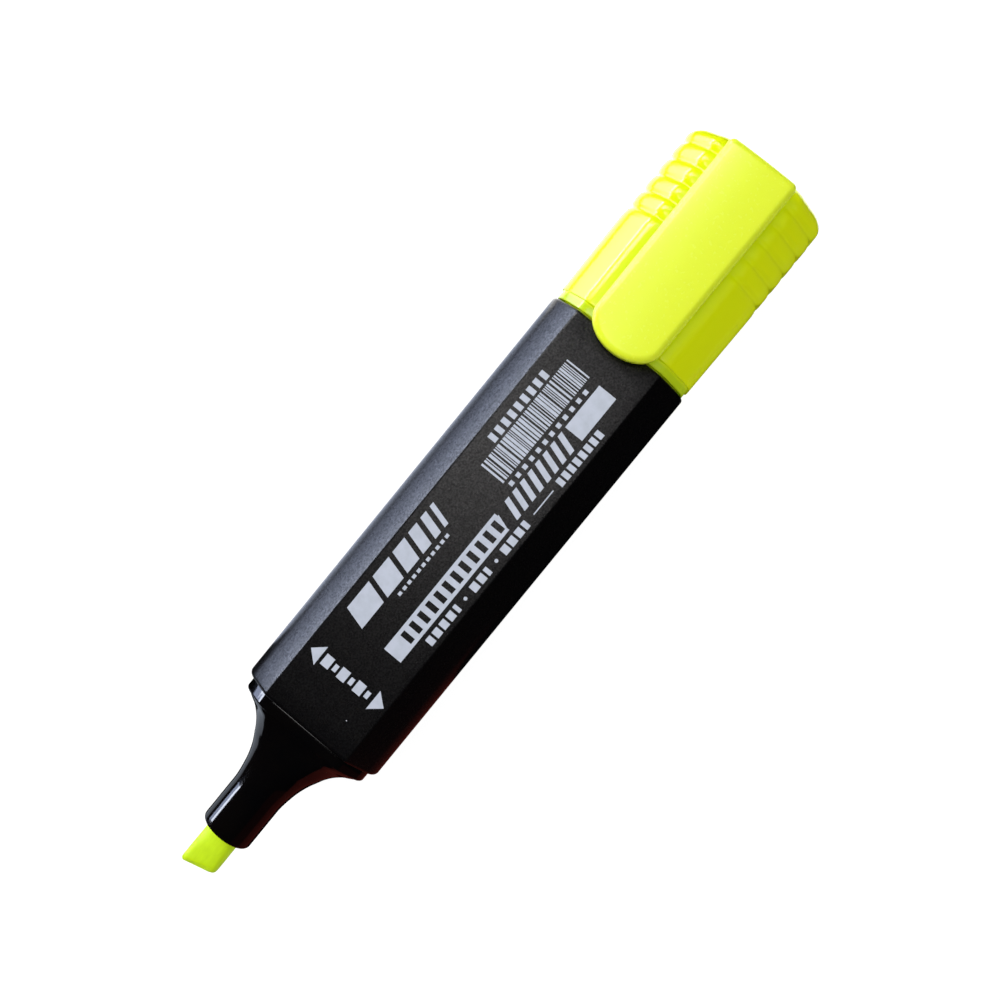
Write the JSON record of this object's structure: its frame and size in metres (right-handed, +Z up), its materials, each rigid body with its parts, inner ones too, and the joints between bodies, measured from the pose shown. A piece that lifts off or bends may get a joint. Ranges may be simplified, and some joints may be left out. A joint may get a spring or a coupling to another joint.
{
  "type": "highlighter",
  "caption": "Flat black highlighter with a slanted chisel nib on a flared round nozzle and a fluorescent yellow clip cap pushed on the rear.",
  "frame": {"origin": "centre of the bounding box in plan, on the plane of the barrel's flat underside", "axes": "+X along the pen from the nib to the closed end of the cap, +Z up out of the printed flat face that carries the clip"},
  "size_m": [0.1254, 0.0228, 0.019],
  "materials": {
    "barrel_plastic": "fine satin grain",
    "section_plastic": "polished",
    "cap_plastic": "translucent fluorescent, softly glossy",
    "clip_plastic": "translucent fluorescent, softly glossy",
    "plug_plastic": "translucent fluorescent, softly glossy",
    "liner_plastic": "milky",
    "nib_fibre": "porous sintered fibre soaked in fluorescent ink",
    "reservoir_fibre": "bundled fibre soaked in fluorescent ink",
    "wrapper_film": "thin clear film"
  },
  "bodies": {
    "barrel_body": {"barrel": "barrel_plastic", "end_plug": "plug_plastic"},
    "reservoir_body": {"ink_reservoir": "reservoir_fibre", "reservoir_film": "wrapper_film"},
    "section_body": {"front_section": "section_plastic", "nib": "nib_fibre"},
    "cap_body": {"cap": "cap_plastic", "inner_cap": "liner_plastic"},
    "clip_body": {"pocket_clip": "clip_plastic"}
  },
  "joints": [
    {"name": "cap_slide", "type": "slide", "parent": "barrel_body", "child": "cap_body", "axis": [1, 0, 0], "range_m": [0, 0.045]},
    {"name": "clip_flex", "type": "hinge", "parent": "cap_body", "child": "clip_body", "pos_m": [0.06055, 0, 0.01495], "axis": [0, 1, 0], "range_deg": [0, 4], "stiffness_Nm_per_rad": 2},
    {"name": "reservoir_draw", "type": "slide", "parent": "barrel_body", "child": "reservoir_body", "axis": [-1, 0, 0], "range_m": [0, 0.005]},
    {"name": "section_twist", "type": "hinge", "parent": "reservoir_body", "child": "section_body", "pos_m": [-0.0355, 0, 0.00775], "axis": [-1, 0, 0], "range_deg": [0, 720]}
  ],
  "couplings": [
    {"joint": "section_twist", "follows": "reservoir_draw", "rad_per_m": 2513.3}
  ]
}
